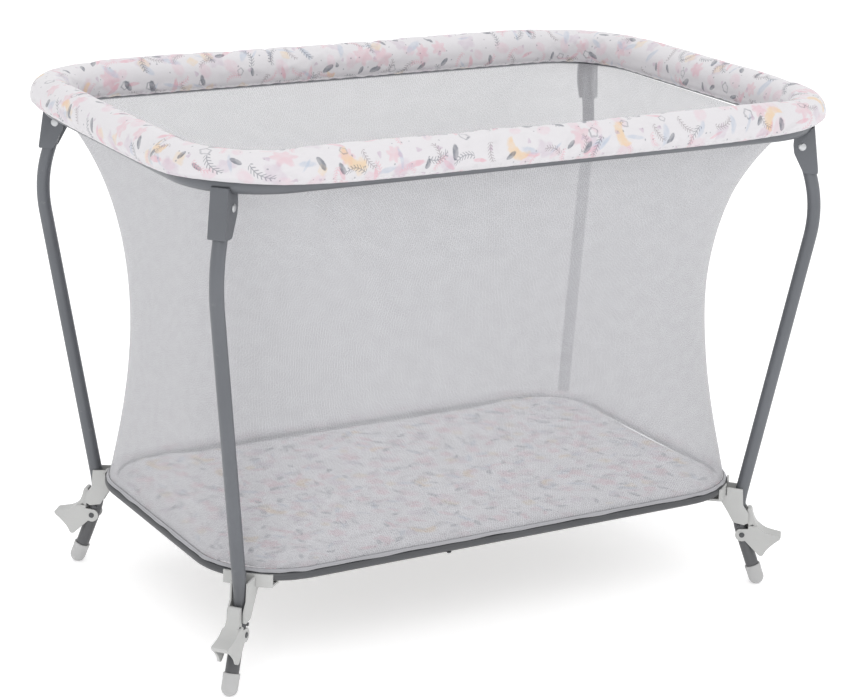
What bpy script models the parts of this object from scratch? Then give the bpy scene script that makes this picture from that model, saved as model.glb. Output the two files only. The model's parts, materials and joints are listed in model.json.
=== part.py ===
# A folding playpen: a padded rail on a bent steel tube, a stretched mesh wall, a floor that lifts
# up inside the wall, and four cranked legs hinged in corner brackets, each with a foot pedal.
import math

import bmesh
import bpy
from mathutils import Matrix, Vector

# Driving dimensions, in metres. The origin lies on the ground under the middle of the playpen,
# +X runs along the long side and -Y is the front.
GAP = 0.0003               # clearance between neighbouring pieces
CORNER_STEPS = 6           # facets in each rounded corner seen from above

RAIL_HALF_X = 0.482        # rail tube centreline
RAIL_HALF_Y = 0.309
RAIL_CORNER = 0.11
RAIL_Z = 0.7005
RAIL_RADIUS = 0.0125
RAIL_WALL = 0.0015
RAIL_JOINER_LENGTH = 0.10
PADDING_Z = 0.717          # centre of the padded roll
PADDING_RADIUS = 0.0235

FLOOR_HALF_X = 0.425       # floor tube centreline
FLOOR_HALF_Y = 0.257
FLOOR_CORNER = 0.115
FLOOR_Z = 0.150
FLOOR_RADIUS = 0.006
FLOOR_WALL = 0.001
FLOOR_SPLIT_X = -0.08      # where the two floor tube halves meet
FLOOR_JOINER_LENGTH = 0.09
FLOOR_RIVET_X = -0.10
FLOOR_EDGE = 0.0065        # from the tube's centreline in to the board and the mat
BOARD_BOTTOM = 0.1400
BOARD_THICK = 0.0037
MAT_TOP = 0.1575

WALL_THICK = 0.0016        # mesh fabric, drawn as one thin skin
WALL_LEVELS = (            # height, half length, half width, corner radius
    (0.1590, 0.4245, 0.2565, 0.1145),
    (0.2000, 0.4215, 0.2580, 0.1350),
    (0.2700, 0.4175, 0.2600, 0.1650),
    (0.3500, 0.4150, 0.2615, 0.1880),
    (0.4200, 0.4150, 0.2620, 0.1960),
    (0.4900, 0.4180, 0.2640, 0.1900),
    (0.5600, 0.4255, 0.2685, 0.1710),
    (0.6200, 0.4380, 0.2760, 0.1470),
    (0.6600, 0.4520, 0.2850, 0.1200),
    (0.6920, 0.4670, 0.2940, 0.0950),
)

LEG_ANGLE = math.radians(39.4)   # direction in which every leg leans, from the long side
LEG_X = 0.4515             # the corner frames' origins, under the rail tube's centreline
LEG_Y = 0.2755
LEG_RADIUS = 0.0095
LEG_WALL = 0.0012
LEG_PIVOT = (0.0, 0.670)   # all corner profiles are (distance outward, height)
LEG_PATH = ((-0.0031, 0.6795), (0.0281, 0.5837), (-0.0571, 0.1088), (-0.0226, 0.0150))
LEG_BENDS = (0.185, 0.12)
FOOT_CENTRE = (-0.0209, 0.0104)
FOOT_LEAN = math.radians(20.3)
FOOT_RADIUS = 0.0113
FOOT_HEIGHT = 0.0200       # from the rounded end's centre up to the mouth

CHEEK_INNER = 0.0103       # half the space between a pair of cheeks
CHEEK_OUTER = 0.0123
BRACKET_PROFILE = ((0.0248, 0.6320), (0.0151, 0.6975), (0.0125, 0.6975), (-0.0120, 0.6905),
                   (-0.0130, 0.6720), (-0.0110, 0.6600), (0.0040, 0.6320))
BRACKET_HOLLOW = ((0.0246, 0.6200), (0.0130, 0.6985), (-0.0300, 0.6985), (-0.0300, 0.6200))
RIVET_RADIUS = 0.0030
RIVET_HEAD = 0.0055
RIVET_HEAD_THICK = 0.0015

PEDAL_PIVOT = (-0.0460, 0.0785)
PIN_RADIUS = 0.0025
PIN_HEAD = 0.0040
PIN_HEAD_THICK = 0.0012
PEDAL_OUTER = ((0.0120, 0.0410), (0.0160, 0.0250), (0.0235, 0.0135), (0.0350, 0.0060),
               (0.0580, 0.0015), (0.0560, -0.0030))
PEDAL_RIB = ((0.0400, -0.0100), (0.0320, -0.0300), (0.0275, -0.0300))
PEDAL_INNER = ((0.0092, 0.0100), (0.0088, 0.0135), (0.0055, 0.0410))
PEDAL_HOLLOW = ((-0.0300, -0.0500), (-0.0300, 0.0135), (0.0090, 0.0135), (0.0150, 0.0170),
                (0.0205, 0.0108), (0.0340, 0.0020), (0.0520, -0.0012), (0.0520, -0.0500))
PEDAL_BOSS = 0.0100
PEDAL_SHOULDER = (0.0139, 0.0155)   # heights between which the ribs give way to the nose
PEDAL_FLARE = -0.0060      # height below which the ribs spread apart
PEDAL_SPREAD = 0.10        # how far each rib spreads for each metre below that height
SPRING_THICK = 0.0008
SPRING_HALF_WIDTH = 0.0040
SPRING_PATH = ((0.0106, 0.0025), (0.0118, 0.0070), (0.0150, 0.0105), (0.0176, 0.0108))

FORK_ROOT = -0.0735        # inner end of the slot that takes the leg
FORK_OUTER = 0.0128        # half width over the fork's arms
FORK_BOTTOM = 0.1363
FORK_PLATE_TOP = 0.1394
FORK_TOP = 0.1545
FORK_WALL = 0.0028
FORK_HALF_LENGTH = 0.034
FORK_INNER = -0.102
FORK_ARM = ((-0.0885, 0.1368), (-0.0885, 0.1388), (-0.0720, 0.1388), (-0.0720, 0.1515),
            (-0.0490, 0.1500), (-0.0470, 0.1250), (-0.0385, 0.1130), (-0.0375, 0.0985),
            (-0.0440, 0.0945), (-0.0600, 0.0975), (-0.0690, 0.1130), (-0.0800, 0.1300))
SCREW_R = -0.094           # how far out the floor screw stands
SCREW_RADIUS = 0.0016
SCREW_HEAD = 0.0040
SCREW_HEAD_THICK = 0.0015

CORNERS = {
    "front_left": (-1, -1),
    "front_right": (1, -1),
    "back_left": (-1, 1),
    "back_right": (1, 1),
}

COLOURS = {                # base colour, metallic, roughness
    "steel_grey": ((0.21, 0.22, 0.235), 0.75, 0.42),
    "steel_dark": ((0.11, 0.11, 0.12), 0.6, 0.45),
    "zinc": ((0.55, 0.56, 0.57), 0.9, 0.35),
    "plastic": ((0.60, 0.60, 0.57), 0.0, 0.5),
    "foot": ((0.55, 0.55, 0.54), 0.0, 0.6),
    "fabric": ((0.86, 0.83, 0.84), 0.0, 0.85),
    "mesh": ((0.78, 0.78, 0.80), 0.0, 0.8),
    "board": ((0.50, 0.42, 0.33), 0.0, 0.8),
}


def material(name):
    # one Principled material for each finish, made the first time that it is asked for
    found = bpy.data.materials.get(name)
    if found:
        return found
    colour, metallic, roughness = COLOURS[name]
    made = bpy.data.materials.new(name)
    made.use_nodes = True
    shader = made.node_tree.nodes["Principled BSDF"]
    shader.inputs["Base Color"].default_value = (*colour, 1)
    shader.inputs["Metallic"].default_value = metallic
    shader.inputs["Roughness"].default_value = roughness
    made.diffuse_color = (*colour, 1)
    return made


def add_object(name, shape, finish=None, parent=None):
    # turns a bmesh into an object; without a finish it is a hidden cutter
    bmesh.ops.recalc_face_normals(shape, faces=shape.faces)
    if shape.calc_volume(signed=True) < 0:
        bmesh.ops.reverse_faces(shape, faces=shape.faces)
    mesh = bpy.data.meshes.new(name)
    shape.to_mesh(mesh)
    shape.free()
    thing = bpy.data.objects.new(name, mesh)
    bpy.context.scene.collection.objects.link(thing)
    if parent:
        thing.parent = parent
        mesh.transform(parent.matrix_world.inverted())
    if finish:
        mesh.materials.append(material(finish))
        mesh.shade_smooth()
        mesh.set_sharp_from_angle(angle=math.radians(40))
    else:
        thing.hide_render = True
        thing.display_type = "WIRE"
    return thing


def add_empty(name, matrix, parent=None):
    empty = bpy.data.objects.new(name, None)
    empty.empty_display_size = 0.03
    bpy.context.scene.collection.objects.link(empty)
    empty.parent = parent
    empty.matrix_world = matrix
    bpy.context.view_layer.update()
    return empty


def cut(thing, cutter, operation="DIFFERENCE"):
    boolean = thing.modifiers.new(cutter.name, "BOOLEAN")
    boolean.operation = operation
    boolean.solver = "EXACT"
    boolean.object = cutter


def thicken(thing, wall):
    # makes an open skin into a closed wall that grows inward
    solidify = thing.modifiers.new("wall", "SOLIDIFY")
    solidify.thickness = wall
    solidify.offset = -1
    solidify.use_even_offset = True


def rounded(points, radii, steps):
    # a path whose inner corners are rounded with arcs
    path = [points[0]]
    for before, corner, after, radius in zip(points, points[1:], points[2:], radii):
        into = (corner - before).normalized()
        out = (after - corner).normalized()
        bend = into.angle(out)
        reach = radius * math.tan(bend / 2)
        centre = corner + (out - into).normalized() * radius / math.cos(bend / 2)
        start = corner - into * reach
        axis = into.cross(out)
        for step in range(steps + 1):
            path.append(centre + Matrix.Rotation(bend * step / steps, 3, axis) @ (start - centre))
    path.append(points[-1])
    return path


def ring(half_x, half_y, corner, height):
    # the points of a rounded rectangle, anticlockwise from the front edge's right end
    points = []
    for quarter, (sx, sy) in enumerate(((1, -1), (1, 1), (-1, 1), (-1, -1))):
        middle = Vector((sx * (half_x - corner), sy * (half_y - corner), height))
        for step in range(CORNER_STEPS + 1):
            angle = math.pi / 2 * (quarter - 1 + step / CORNER_STEPS)
            points.append(middle + corner * Vector((math.cos(angle), math.sin(angle), 0)))
    return points


def sweep(path, radius=0.0, sides=12, section=None, closed=False, capped=False):
    # a curve with a round bevel, or with a section of its own, read as a mesh
    curve = bpy.data.curves.new("path", "CURVE")
    curve.dimensions = "3D"
    spline = curve.splines.new("POLY")
    spline.points.add(len(path) - 1)
    for place, point in zip(spline.points, path):
        place.co = (*point, 1)
    spline.use_cyclic_u = closed
    curve.use_fill_caps = capped
    guide = None
    if section:
        outline = bpy.data.curves.new("section", "CURVE")
        loop = outline.splines.new("POLY")
        loop.points.add(len(section) - 1)
        for place, (across, up) in zip(loop.points, section):
            place.co = (across, up, 0, 1)
        loop.use_cyclic_u = True
        guide = bpy.data.objects.new("section", outline)
        curve.bevel_mode = "OBJECT"
        curve.bevel_object = guide
    else:
        curve.bevel_depth = radius
        curve.bevel_resolution = (sides - 4) // 2
    holder = bpy.data.objects.new("path", curve)
    bpy.context.scene.collection.objects.link(holder)
    bpy.context.view_layer.update()
    mesh = bpy.data.meshes.new_from_object(holder.evaluated_get(bpy.context.evaluated_depsgraph_get()))
    shape = bmesh.new()
    shape.from_mesh(mesh)
    bmesh.ops.remove_doubles(shape, verts=shape.verts, dist=0.00001)
    bpy.data.objects.remove(holder)
    if guide:
        bpy.data.objects.remove(guide)
    return shape


def plate(points, thick):
    # a flat outline pushed up by its thickness
    shape = bmesh.new()
    base = shape.faces.new([shape.verts.new(point) for point in points])
    pushed = bmesh.ops.extrude_face_region(shape, geom=[base])["geom"]
    risen = [part for part in pushed if isinstance(part, bmesh.types.BMVert)]
    bmesh.ops.translate(shape, verts=risen, vec=(0, 0, thick))
    return shape


def prism(profile, half_width, frame):
    # an (outward, height) outline pushed across its corner frame, from side to side
    shape = bmesh.new()
    base = shape.faces.new([shape.verts.new((out, -half_width, up)) for out, up in profile])
    pushed = bmesh.ops.extrude_face_region(shape, geom=[base])["geom"]
    across = [part for part in pushed if isinstance(part, bmesh.types.BMVert)]
    bmesh.ops.translate(shape, verts=across, vec=(0, 2 * half_width, 0))
    shape.transform(frame)
    return shape


def turned(profile, frame, sides=12):
    # a (radius, height) outline turned about the frame's own Z axis
    shape = bmesh.new()
    verts = [shape.verts.new((radius, 0, up)) for radius, up in profile]
    edges = [shape.edges.new(pair) for pair in zip(verts, verts[1:])]
    bmesh.ops.spin(shape, geom=verts + edges, axis=(0, 0, 1), cent=(0, 0, 0),
                   angle=2 * math.pi, steps=sides, use_merge=True)
    bmesh.ops.remove_doubles(shape, verts=shape.verts, dist=0.00001)
    shape.transform(frame)
    return shape


def across(frame, place):
    # the frame of an axle that lies across a corner frame at a profile point
    return frame @ Matrix.Translation((place[0], 0, place[1])) @ Matrix.Rotation(math.pi / 2, 4, "X")


def pin_profile(shaft, head, half_length, head_thick):
    return ((0, -half_length - head_thick), (head, -half_length - head_thick), (head, -half_length),
            (shaft, -half_length), (shaft, half_length), (head, half_length),
            (head, half_length + head_thick), (0, half_length + head_thick))


def drill(name, radius, half_length, frame):
    return add_object(name, turned(((0, -half_length), (radius, -half_length),
                                    (radius, half_length), (0, half_length)), frame))


def half_loop(half_x, half_y, corner, height, split, side):
    # one half of a rounded rectangle, from its front end round to its back end
    end = split + side * GAP
    corners = [Vector((end, -half_y, height)), Vector((side * half_x, -half_y, height)),
               Vector((side * half_x, half_y, height)), Vector((end, half_y, height))]
    return rounded(corners, (corner, corner), CORNER_STEPS)


def rod(name, middle, length, radius, finish, parent=None):
    frame = Matrix.Translation(middle) @ Matrix.Rotation(math.pi / 2, 4, "Y")
    profile = ((0, -length / 2), (radius, -length / 2), (radius, length / 2), (0, length / 2))
    return add_object(name, turned(profile, frame), finish, parent)


def make_rail():
    inner = RAIL_RADIUS - RAIL_WALL - 2 * GAP
    for side, word in ((-1, "left"), (1, "right")):
        path = half_loop(RAIL_HALF_X, RAIL_HALF_Y, RAIL_CORNER, RAIL_Z, 0, side)
        tube = add_object("rail_tube_" + word, sweep(path, RAIL_RADIUS), "steel_grey")
        thicken(tube, RAIL_WALL)
    for side, word in ((-1, "front"), (1, "back")):
        middle = (0, side * RAIL_HALF_Y, RAIL_Z)
        rod("rail_joiner_" + word, middle, RAIL_JOINER_LENGTH, inner - GAP, "zinc")
    make_padding()


def make_padding():
    # the roll's section: a circle with a round groove below, which sits on the rail tube
    groove = (RAIL_RADIUS + GAP) / math.cos(math.pi / 12)
    drop = PADDING_Z - RAIL_Z
    half_mouth = math.acos((drop ** 2 + PADDING_RADIUS ** 2 - groove ** 2) / (2 * drop * PADDING_RADIUS))
    lip = math.acos((drop ** 2 + groove ** 2 - PADDING_RADIUS ** 2) / (2 * drop * groove))
    section = []
    for step in range(13):
        angle = half_mouth + (2 * math.pi - 2 * half_mouth) * step / 12
        section.append((math.sin(angle) * PADDING_RADIUS, drop - math.cos(angle) * PADDING_RADIUS))
    for step in range(1, 8):
        angle = -lip + 2 * lip * step / 8
        section.append((math.sin(angle) * groove, math.cos(angle) * groove))
    path = ring(RAIL_HALF_X, RAIL_HALF_Y, RAIL_CORNER, RAIL_Z)
    add_object("rail_padding", sweep(path, section=section, closed=True), "fabric")


def make_wall():
    # a loop for each level, bridged one to the next, then given the fabric's thickness
    shape = bmesh.new()
    below = None
    for height, half_x, half_y, corner in WALL_LEVELS:
        verts = [shape.verts.new(point) for point in ring(half_x, half_y, corner, height)]
        loop = [shape.edges.new(pair) for pair in zip(verts, verts[1:] + verts[:1])]
        if below:
            bmesh.ops.bridge_loops(shape, edges=below + loop)
        below = loop
    wall = add_object("mesh_wall", shape, "mesh")
    thicken(wall, WALL_THICK)


def make_floor(lift):
    inner = FLOOR_RADIUS - FLOOR_WALL - 2 * GAP
    for side, word in ((-1, "left"), (1, "right")):
        path = half_loop(FLOOR_HALF_X, FLOOR_HALF_Y, FLOOR_CORNER, FLOOR_Z, FLOOR_SPLIT_X, side)
        tube = add_object("floor_tube_" + word, sweep(path, FLOOR_RADIUS, 10), "steel_dark", lift)
        thicken(tube, FLOOR_WALL)
        if side < 0:
            rivetted = tube
    for side, word in ((-1, "front"), (1, "back")):
        middle = Vector((FLOOR_SPLIT_X, side * FLOOR_HALF_Y, FLOOR_Z))
        joiner = rod("floor_joiner_" + word, middle, FLOOR_JOINER_LENGTH, inner, "zinc", lift)
        place = Matrix.Translation((FLOOR_RIVET_X, side * FLOOR_HALF_Y, FLOOR_Z))
        top = 0.0025
        hole = add_object("floor_rivet_hole_" + word, turned(
            ((0, -0.012), (0.0019, -0.012), (0.0019, top + GAP), (0, top + GAP)), place))
        cut(rivetted, hole)
        cut(joiner, hole)
        below = -FLOOR_RADIUS - GAP
        add_object("floor_rivet_" + word, turned(
            ((0, below - 0.0025), (0.0026, below - 0.0025), (0.0036, below - 0.0012), (0.0036, below),
             (0.0015, below), (0.0015, top), (0, top)), place), "steel_dark", lift)
    edge = FLOOR_EDGE
    outline = ring(FLOOR_HALF_X - edge, FLOOR_HALF_Y - edge, FLOOR_CORNER - edge, BOARD_BOTTOM)
    board = add_object("floor_board", plate(outline, BOARD_THICK), "board", lift)
    mat_bottom = BOARD_BOTTOM + BOARD_THICK + GAP
    outline = ring(FLOOR_HALF_X - edge, FLOOR_HALF_Y - edge, FLOOR_CORNER - edge, mat_bottom)
    mat = plate(outline, MAT_TOP - mat_bottom)
    upper = [edge for edge in mat.edges if all(vert.co.z > MAT_TOP - GAP for vert in edge.verts)]
    bmesh.ops.bevel(mat, geom=upper, offset=0.004, segments=2, profile=0.5, affect="EDGES")
    add_object("floor_mat", mat, "fabric", lift)
    return board


def make_leg_bracket(corner, frame, rail_cutter):
    # a bent channel under the rail: two cheeks for the hinge rivet and a web as the outward stop
    bracket = add_object("leg_bracket_" + corner, prism(BRACKET_PROFILE, CHEEK_OUTER, frame), "steel_grey")
    hollow = add_object("bracket_hollow_" + corner, prism(BRACKET_HOLLOW, CHEEK_INNER, frame))
    axle = across(frame, LEG_PIVOT)
    hole = drill("bracket_hole_" + corner, RIVET_RADIUS + 2 * GAP, 2 * CHEEK_OUTER, axle)
    for cutter in (hollow, rail_cutter, hole):
        cut(bracket, cutter)
    rivet = pin_profile(RIVET_RADIUS, RIVET_HEAD, CHEEK_OUTER + GAP, RIVET_HEAD_THICK)
    add_object("leg_rivet_" + corner, turned(rivet, axle), "zinc")


def make_leg(corner, frame):
    pivot = frame @ Matrix.Translation((LEG_PIVOT[0], 0, LEG_PIVOT[1]))
    fold = add_empty("leg_fold_" + corner, pivot)
    points = [frame @ Vector((out, 0, up)) for out, up in LEG_PATH]
    leg = add_object("leg_" + corner, sweep(rounded(points, LEG_BENDS, 6), LEG_RADIUS, 10), "steel_grey", fold)
    thicken(leg, LEG_WALL)
    for word, place, radius in (("top", LEG_PIVOT, RIVET_RADIUS), ("pedal", PEDAL_PIVOT, PIN_RADIUS)):
        cut(leg, drill("leg_hole_" + word + "_" + corner, radius + 2 * GAP, 2 * CHEEK_OUTER, across(frame, place)))
    pocket = (LEG_RADIUS + GAP) / math.cos(math.pi / 12) + GAP / 2
    floor = 0.0045
    profile = [(math.sin(step * math.pi / 10) * FOOT_RADIUS, -math.cos(step * math.pi / 10) * FOOT_RADIUS)
               for step in range(6)]
    profile += [(FOOT_RADIUS, FOOT_HEIGHT), (pocket, FOOT_HEIGHT), (pocket, floor), (0, floor)]
    stand = frame @ Matrix.Translation((FOOT_CENTRE[0], 0, FOOT_CENTRE[1])) @ Matrix.Rotation(-FOOT_LEAN, 4, "Y")
    cap = turned(profile, stand)
    bmesh.ops.bisect_plane(cap, geom=cap.verts[:] + cap.edges[:] + cap.faces[:],
                           plane_co=(0, 0, 0), plane_no=(0, 0, -1), clear_outer=True)
    bmesh.ops.holes_fill(cap, edges=[edge for edge in cap.edges if edge.is_boundary], sides=0)
    add_object("foot_cap_" + corner, cap, "foot", fold)
    pin = pin_profile(PIN_RADIUS, PIN_HEAD, CHEEK_OUTER + GAP, PIN_HEAD_THICK)
    add_object("pedal_pin_" + corner, turned(pin, across(frame, PEDAL_PIVOT)), "zinc", fold)
    make_pedal(corner, frame, fold)


def pedal_half_width(height):
    # the ribs spread toward the bottom; the nose is narrow enough to pass between the fork's arms
    low, high = PEDAL_SHOULDER
    if height < (low + high) / 2:
        return CHEEK_OUTER + PEDAL_SPREAD * max(0, PEDAL_FLARE - height)
    return 0.0096 - 0.0016 * (height - high) / 0.0255


def make_pedal(corner, frame, fold):
    hinge = frame @ Matrix.Translation((PEDAL_PIVOT[0], 0, PEDAL_PIVOT[1]))
    press = add_empty("pedal_press_" + corner, hinge, fold)
    boss = [(math.cos(angle) * PEDAL_BOSS, math.sin(angle) * PEDAL_BOSS)
            for angle in (math.radians(-60 - 30 * step) for step in range(7))]
    outline = list(PEDAL_OUTER) + list(PEDAL_RIB) + boss + list(PEDAL_INNER)
    shape = prism(outline, 1, Matrix())
    for height in (PEDAL_FLARE, *PEDAL_SHOULDER):
        bmesh.ops.bisect_plane(shape, geom=shape.verts[:] + shape.edges[:] + shape.faces[:],
                               plane_co=(0, 0, height), plane_no=(0, 0, 1))
    for vert in shape.verts:
        vert.co.y *= pedal_half_width(vert.co.z)
    shape.transform(hinge)
    pedal = add_object("pedal_" + corner, shape, "plastic", press)
    cut(pedal, add_object("pedal_hollow_" + corner, prism(PEDAL_HOLLOW, CHEEK_INNER, hinge)))
    cut(pedal, drill("pedal_hole_" + corner, PIN_RADIUS + 2 * GAP, 2 * CHEEK_OUTER, across(hinge, (0, 0))))
    strip = [Vector((out, 0, up)) for out, up in SPRING_PATH]
    other = [point + Vector((-0.5, 0, 0.85)) * SPRING_THICK for point in strip]
    outline = [(point.x, point.z) for point in strip + other[::-1]]
    add_object("pedal_spring_" + corner, prism(outline, SPRING_HALF_WIDTH, hinge), "zinc", press)


def make_fork(corner, frame, lift, board, floor_cutter):
    # a plastic corner bracket: a ledge round the floor tube's corner, and a fork open outward
    wall = FLOOR_RADIUS + GAP + FORK_WALL
    outline = ring(FLOOR_HALF_X + wall, FLOOR_HALF_Y + wall, FLOOR_CORNER + wall, FORK_BOTTOM)
    fork = add_object("floor_bracket_" + corner, plate(outline, FORK_TOP - FORK_BOTTOM), "plastic", lift)
    keep = add_object("fork_keep_" + corner, prism(
        ((FORK_INNER, 0.10), (FORK_INNER, 0.20), (0, 0.20), (0, 0.10)), FORK_HALF_LENGTH, frame))
    arms = add_object("fork_arms_" + corner, prism(FORK_ARM, FORK_OUTER, frame))
    slot = add_object("fork_slot_" + corner, prism(
        ((FORK_ROOT, 0.05), (FORK_ROOT, 0.20), (0, 0.20), (0, 0.05)), CHEEK_INNER, frame))
    upright = frame @ Matrix.Translation((SCREW_R, 0, 0))
    hole = add_object("screw_hole_" + corner, turned(
        ((0, 0.130), (SCREW_RADIUS + 2 * GAP, 0.130), (SCREW_RADIUS + 2 * GAP, 0.150), (0, 0.150)), upright))
    cut(fork, keep, "INTERSECT")
    cut(fork, arms, "UNION")
    for cutter in (floor_cutter, slot, hole):
        cut(fork, cutter)
    cut(board, hole)
    head = FORK_BOTTOM - GAP
    top = BOARD_BOTTOM + BOARD_THICK - GAP
    add_object("floor_screw_" + corner, turned(
        ((0, head - SCREW_HEAD_THICK), (SCREW_HEAD * 0.7, head - SCREW_HEAD_THICK), (SCREW_HEAD, head - 0.0008),
         (SCREW_HEAD, head), (SCREW_RADIUS, head), (SCREW_RADIUS, top), (0, top)), upright), "zinc", lift)


def main():
    for thing in list(bpy.data.objects):
        bpy.data.objects.remove(thing)
    make_rail()
    make_wall()
    lift = add_empty("floor_lift", Matrix())
    board = make_floor(lift)
    clear = (RAIL_RADIUS + GAP) / math.cos(math.pi / 12)
    path = ring(RAIL_HALF_X, RAIL_HALF_Y, RAIL_CORNER, RAIL_Z)
    rail_cutter = add_object("rail_clearance", sweep(path, clear, closed=True))
    clear = FLOOR_RADIUS + GAP
    outline = ring(FLOOR_HALF_X + clear, FLOOR_HALF_Y + clear, FLOOR_CORNER + clear, FORK_PLATE_TOP)
    floor_cutter = add_object("floor_clearance", plate(outline, 0.05))
    for corner, (sx, sy) in CORNERS.items():
        outward = Vector((sx * math.cos(LEG_ANGLE), sy * math.sin(LEG_ANGLE)))
        frame = Matrix.Translation((sx * LEG_X, sy * LEG_Y, 0)) @ Matrix.Rotation(
            math.atan2(outward.y, outward.x), 4, "Z")
        make_leg_bracket(corner, frame, rail_cutter)
        make_leg(corner, frame)
        make_fork(corner, frame, lift, board, floor_cutter)


main()
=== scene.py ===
import json
import math

import bmesh
import bpy
import numpy as np
from mathutils import Matrix, Vector

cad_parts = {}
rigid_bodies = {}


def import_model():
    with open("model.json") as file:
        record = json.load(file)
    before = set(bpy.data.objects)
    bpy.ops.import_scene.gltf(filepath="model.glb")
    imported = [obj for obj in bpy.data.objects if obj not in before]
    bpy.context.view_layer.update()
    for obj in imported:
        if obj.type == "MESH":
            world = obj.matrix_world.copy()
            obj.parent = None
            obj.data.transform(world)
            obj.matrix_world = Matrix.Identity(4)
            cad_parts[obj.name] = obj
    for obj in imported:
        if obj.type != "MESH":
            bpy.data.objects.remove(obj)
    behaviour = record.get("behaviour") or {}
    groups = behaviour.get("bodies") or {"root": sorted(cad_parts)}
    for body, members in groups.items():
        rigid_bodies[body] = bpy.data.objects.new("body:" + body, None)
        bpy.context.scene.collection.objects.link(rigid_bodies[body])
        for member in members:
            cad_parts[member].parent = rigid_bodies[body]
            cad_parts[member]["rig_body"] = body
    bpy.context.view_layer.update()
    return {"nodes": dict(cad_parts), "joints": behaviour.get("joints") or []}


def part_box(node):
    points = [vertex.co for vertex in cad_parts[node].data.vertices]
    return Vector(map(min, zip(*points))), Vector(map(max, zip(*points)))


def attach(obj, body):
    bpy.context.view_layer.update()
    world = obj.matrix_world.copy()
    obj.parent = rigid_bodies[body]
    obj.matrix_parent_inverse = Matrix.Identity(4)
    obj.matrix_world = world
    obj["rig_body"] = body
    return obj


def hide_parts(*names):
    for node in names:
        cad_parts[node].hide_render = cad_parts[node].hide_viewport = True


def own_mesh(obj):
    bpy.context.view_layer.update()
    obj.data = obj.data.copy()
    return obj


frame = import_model()
scene = bpy.context.scene
print("frame loaded")


def wire(tree, value, socket):
    # links a socket, or sets a constant
    if isinstance(value, bpy.types.NodeSocket):
        tree.links.new(value, socket)
    elif value is not None:
        socket.default_value = value


def mathNode(tree, operation, *values):
    node = tree.nodes.new("ShaderNodeMath")
    node.operation = operation
    for value, socket in zip(values, node.inputs):
        wire(tree, value, socket)
    return node.outputs[0]


def times(tree, first, second):
    return mathNode(tree, "MULTIPLY", first, second)


def plus(tree, first, second):
    return mathNode(tree, "ADD", first, second)


def minus(tree, first, second):
    return mathNode(tree, "SUBTRACT", first, second)


def divided(tree, first, second):
    return mathNode(tree, "DIVIDE", first, second)


def vectorNode(tree, operation, *values, scale=None):
    node = tree.nodes.new("ShaderNodeVectorMath")
    node.operation = operation
    for value, socket in zip(values, node.inputs):
        wire(tree, value, socket)
    if scale is not None:
        wire(tree, scale, node.inputs["Scale"])
    return node.outputs["Value" if operation in ("LENGTH", "DOT_PRODUCT") else "Vector"]


def noiseNode(tree, vector, scale, detail=2.0, roughness=0.5):
    node = tree.nodes.new("ShaderNodeTexNoise")
    wire(tree, vector, node.inputs["Vector"])
    wire(tree, scale, node.inputs["Scale"])
    node.inputs["Detail"].default_value = detail
    node.inputs["Roughness"].default_value = roughness
    return node.outputs[0]


def stepNode(tree, value, low, high, toLow=0.0, toHigh=1.0):
    # a smooth step from low to high
    node = tree.nodes.new("ShaderNodeMapRange")
    node.interpolation_type = "SMOOTHSTEP"
    for number, socket in zip((value, low, high, toLow, toHigh), node.inputs):
        wire(tree, number, socket)
    return node.outputs[0]


def mixNode(tree, factor, first, second):
    node = tree.nodes.new("ShaderNodeMix")
    node.data_type = "RGBA"
    wire(tree, factor, node.inputs["Factor"])
    wire(tree, first, node.inputs["A"])
    wire(tree, second, node.inputs["B"])
    return node.outputs["Result"]


def bumpNode(tree, height, strength, distance, normal=None):
    node = tree.nodes.new("ShaderNodeBump")
    node.inputs["Strength"].default_value = strength
    node.inputs["Distance"].default_value = distance
    wire(tree, height, node.inputs["Height"])
    wire(tree, normal, node.inputs["Normal"])
    return node.outputs[0]


def makeGroup(name, inputs, outputs):
    tree = bpy.data.node_groups.new(name, "ShaderNodeTree")
    for label, kind in inputs:
        tree.interface.new_socket(label, in_out="INPUT", socket_type="NodeSocket" + kind)
    for label, kind in outputs:
        tree.interface.new_socket(label, in_out="OUTPUT", socket_type="NodeSocket" + kind)
    return tree, tree.nodes.new("NodeGroupInput").outputs, tree.nodes.new("NodeGroupOutput").inputs


def useGroup(tree, group, **values):
    node = tree.nodes.new("ShaderNodeGroup")
    node.node_tree = group
    for label, value in values.items():
        wire(tree, value, node.inputs[label])
    return node.outputs


def makeMaterial(name):
    made = bpy.data.materials.new(name)
    made.use_nodes = True
    tree = made.node_tree
    return made, tree, tree.nodes["Principled BSDF"].inputs


def objectCoords(tree):
    return tree.nodes.new("ShaderNodeTexCoord").outputs["Object"]


# moulded or painted surface: slight colour drift, fine grain, and pale or dark scuffs
def makeSurfaceGroup():
    tree, into, out = makeGroup(
        "surfaceWear",
        (("Coords", "Vector"), ("Colour", "Color"), ("Worn", "Color"), ("Amount", "Float"),
         ("Grain", "Float"), ("Rough", "Float")),
        (("Colour", "Color"), ("Roughness", "Float"), ("Height", "Float")))
    drift = noiseNode(tree, into["Coords"], 9.0, 4.0)
    grain = noiseNode(tree, into["Coords"], into["Grain"], 3.0, 0.6)
    patches = noiseNode(tree, into["Coords"], 55.0, 6.0, 0.7)
    worn = times(tree, stepNode(tree, patches, 0.62, 0.74), into["Amount"])
    shade = stepNode(tree, drift, 0.3, 0.7, 0.93, 1.05)
    base = vectorNode(tree, "SCALE", into["Colour"], scale=shade)
    wire(tree, mixNode(tree, worn, base, into["Worn"]), out["Colour"])
    rough = plus(tree, into["Rough"], stepNode(tree, grain, 0.3, 0.7, -0.05, 0.06))
    wire(tree, plus(tree, rough, times(tree, worn, 0.15)), out["Roughness"])
    wire(tree, minus(tree, grain, times(tree, worn, 0.4)), out["Height"])
    return tree


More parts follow.
